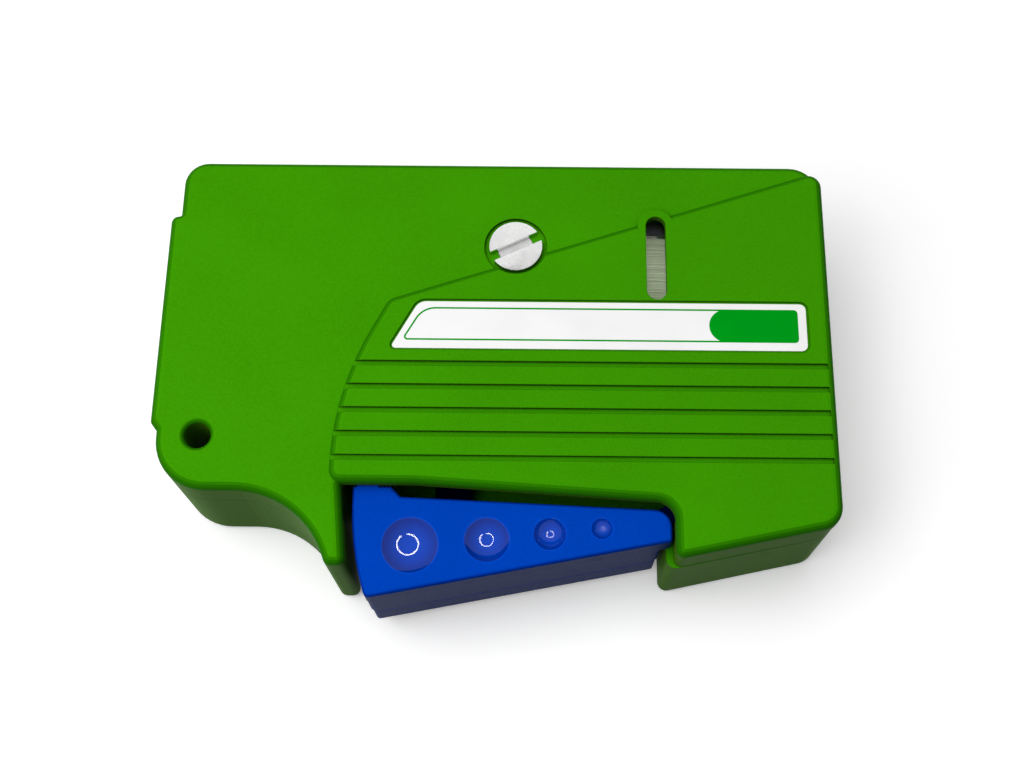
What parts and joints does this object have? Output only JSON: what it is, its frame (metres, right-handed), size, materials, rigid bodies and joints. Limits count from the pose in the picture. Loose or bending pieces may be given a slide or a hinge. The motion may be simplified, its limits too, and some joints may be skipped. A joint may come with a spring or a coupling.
{
  "type": "fibre optic cleaning cassette",
  "caption": "Hand-held reel cassette that wipes fibre optic connector end faces: a squeeze lever slides a shutter off two windows and winds dry tape past them.",
  "frame": {"origin": "centre of the bounding box's foot, on the plane of the back face", "axes": "+X along the width to the lever's pivot end, +Y up the height from lever to top edge, +Z out of the labelled front face"},
  "size_m": [0.13, 0.0878, 0.032],
  "materials": {
    "housing_green": "fine moulded texture",
    "lever_blue": "fine moulded texture",
    "bright_steel": "turned",
    "spring_steel": "drawn wire",
    "insert_brass": "turned",
    "mechanism_grey": "satin",
    "ratchet_white": "self-coloured acetal",
    "label_white": "printed film",
    "window_clear": "clear moulding",
    "tape_white": "fine woven cleaning cloth",
    "pad_rubber": "soft sponge"
  },
  "bodies": {
    "root": {"back_shell": "housing_green", "screw_insert": "insert_brass", "window_plate": "mechanism_grey", "pad_holder": "mechanism_grey", "cleaning_pad": "pad_rubber", "roller_pins": "bright_steel", "tape_web": "tape_white", "holding_pawl": "ratchet_white", "lever_pin": "bright_steel", "lever_spring": "spring_steel", "supply_brake": "spring_steel"},
    "cover": {"front_cover": "housing_green", "sight_window": "window_clear", "label_plate": "label_white"},
    "screw": {"cover_screw": "bright_steel", "screw_clip": "mechanism_grey"},
    "lever": {"lever_front": "lever_blue", "lever_back": "lever_blue", "pawl_pin": "bright_steel", "pawl_spring": "spring_steel"},
    "drive_pawl": {"drive_pawl": "ratchet_white"},
    "take_up": {"take_up_reel": "mechanism_grey", "take_up_roll": "tape_white", "ratchet_wheel": "ratchet_white"},
    "supply": {"supply_reel": "mechanism_grey", "supply_roll": "tape_white"},
    "upper_roller": {"upper_roller": "ratchet_white"},
    "lower_roller": {"lower_roller": "ratchet_white"},
    "shutter": {"shutter": "mechanism_grey"}
  },
  "joints": [
    {"name": "cover_lift", "type": "slide", "parent": "root", "child": "cover", "axis": [0, 0, 1], "range_m": [0, 0.045]},
    {"name": "screw_turn", "type": "hinge", "parent": "cover", "child": "screw", "pos_m": [0.0038, 0.0254, 0], "axis": [0, 0, 1], "continuous": true},
    {"name": "lever_press", "type": "hinge", "parent": "root", "child": "lever", "pos_m": [0.038, -0.0245, 0], "axis": [0, 0, -1], "range_deg": [0, 11], "stiffness_Nm_per_rad": 1.5, "springref_deg": -17.19, "deforming": ["lever_spring", "pawl_spring"]},
    {"name": "drive_pawl_swing", "type": "hinge", "parent": "lever", "child": "drive_pawl", "pos_m": [-0.0079, -0.014, 0], "axis": [0, 0, 1], "range_deg": [0, 22]},
    {"name": "take_up_turn", "type": "hinge", "parent": "root", "child": "take_up", "pos_m": [-0.022, 0.0105, 0], "axis": [0, 0, 1], "continuous": true, "deforming": ["holding_pawl"]},
    {"name": "supply_turn", "type": "hinge", "parent": "root", "child": "supply", "pos_m": [0.0315, 0.009, 0], "axis": [0, 0, 1], "continuous": true},
    {"name": "upper_roller_turn", "type": "hinge", "parent": "root", "child": "upper_roller", "pos_m": [-0.054, 0.0305, 0], "axis": [0, 0, 1], "continuous": true},
    {"name": "lower_roller_turn", "type": "hinge", "parent": "root", "child": "lower_roller", "pos_m": [-0.051, -0.0052, 0], "axis": [0, 0, 1], "continuous": true},
    {"name": "shutter_slide", "type": "slide", "parent": "root", "child": "shutter", "axis": [0, 1, 0], "range_m": [0, 0.0185]}
  ],
  "couplings": [
    {"joint": "drive_pawl_swing", "follows": "lever_press", "ratio": 1.924},
    {"joint": "take_up_turn", "follows": "lever_press", "ratio": 3.2727},
    {"joint": "supply_turn", "follows": "lever_press", "ratio": 1.37},
    {"joint": "upper_roller_turn", "follows": "lever_press", "ratio": 9.2045},
    {"joint": "lower_roller_turn", "follows": "lever_press", "ratio": 9.2045},
    {"joint": "shutter_slide", "follows": "lever_press", "m_per_rad": 0.0959}
  ]
}
